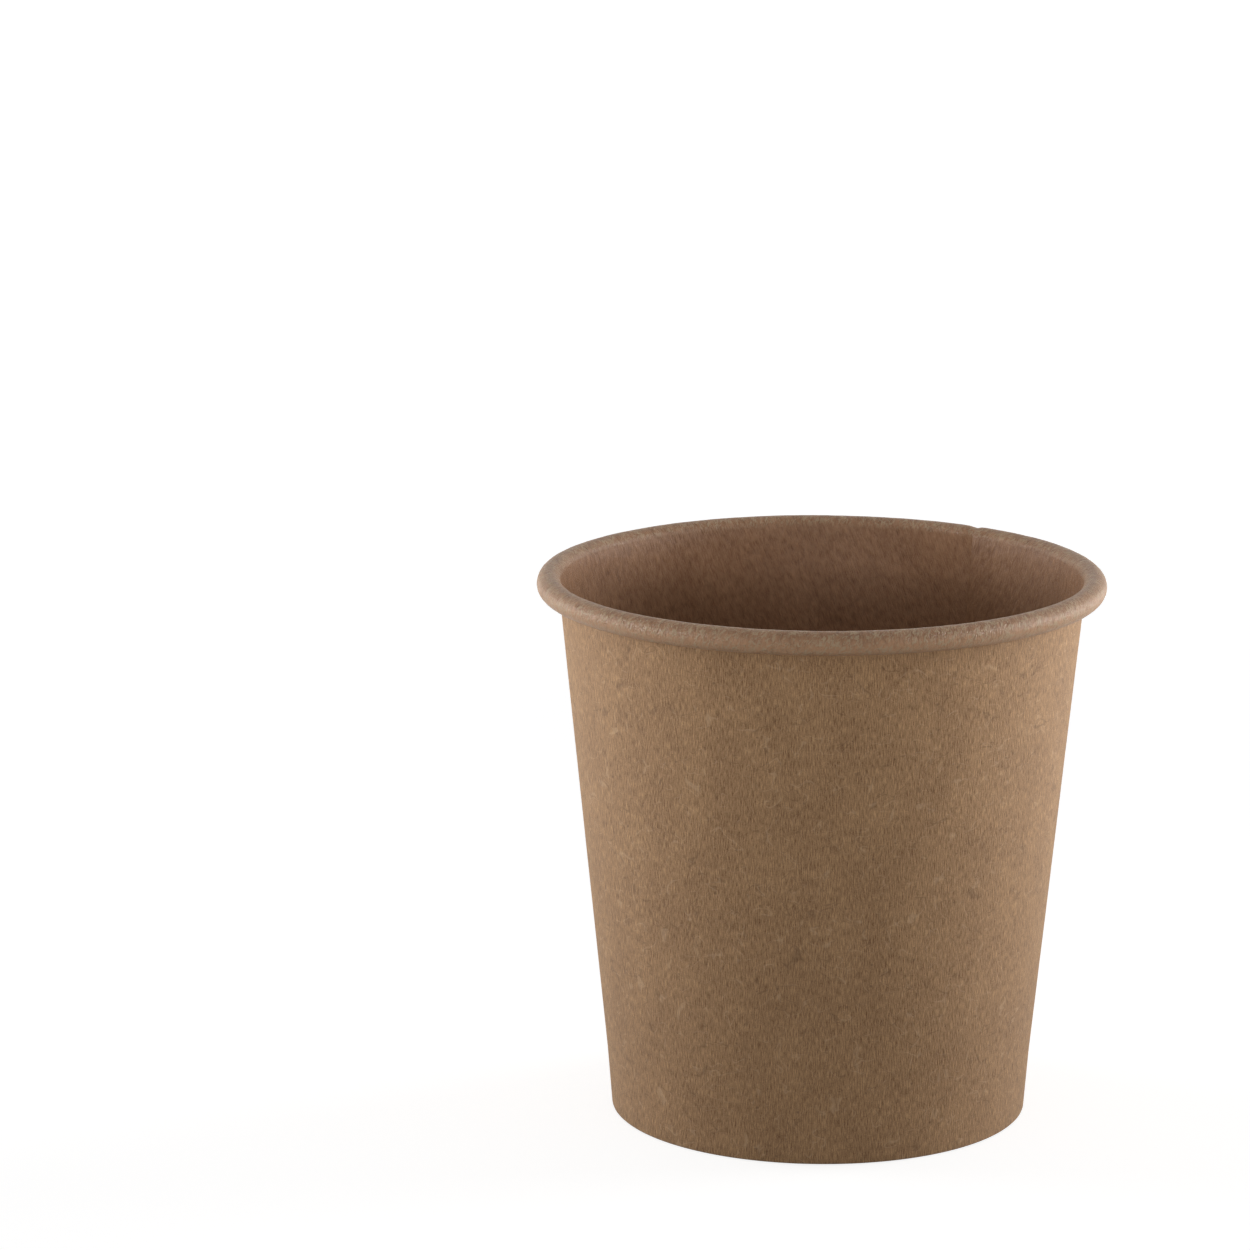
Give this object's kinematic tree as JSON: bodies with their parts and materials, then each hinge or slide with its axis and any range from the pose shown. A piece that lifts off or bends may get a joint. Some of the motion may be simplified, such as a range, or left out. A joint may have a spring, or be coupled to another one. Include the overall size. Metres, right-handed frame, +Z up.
{
  "type": "paper coffee cup",
  "caption": "Small tapered paper coffee cup in plain brown board, with a rolled rim, a lapped side seam and a recessed base held in a folded hem.",
  "frame": {"origin": "centre of the foot, on the plane that the cup stands on", "axes": "+Z up along the cup's axis; the middle of the side seam lies 45 degrees from +X towards +Y, so it is at the right rear when looking along +Y"},
  "size_m": [0.062, 0.062, 0.0603],
  "materials": {
    "wall_board": "matt uncoated brown board outside, thin clear coating inside",
    "base_board": "brown board with a thin clear coating on the drink side"
  },
  "bodies": {
    "root": {"side_wall": "wall_board", "base_disc": "base_board"}
  },
  "joints": []
}
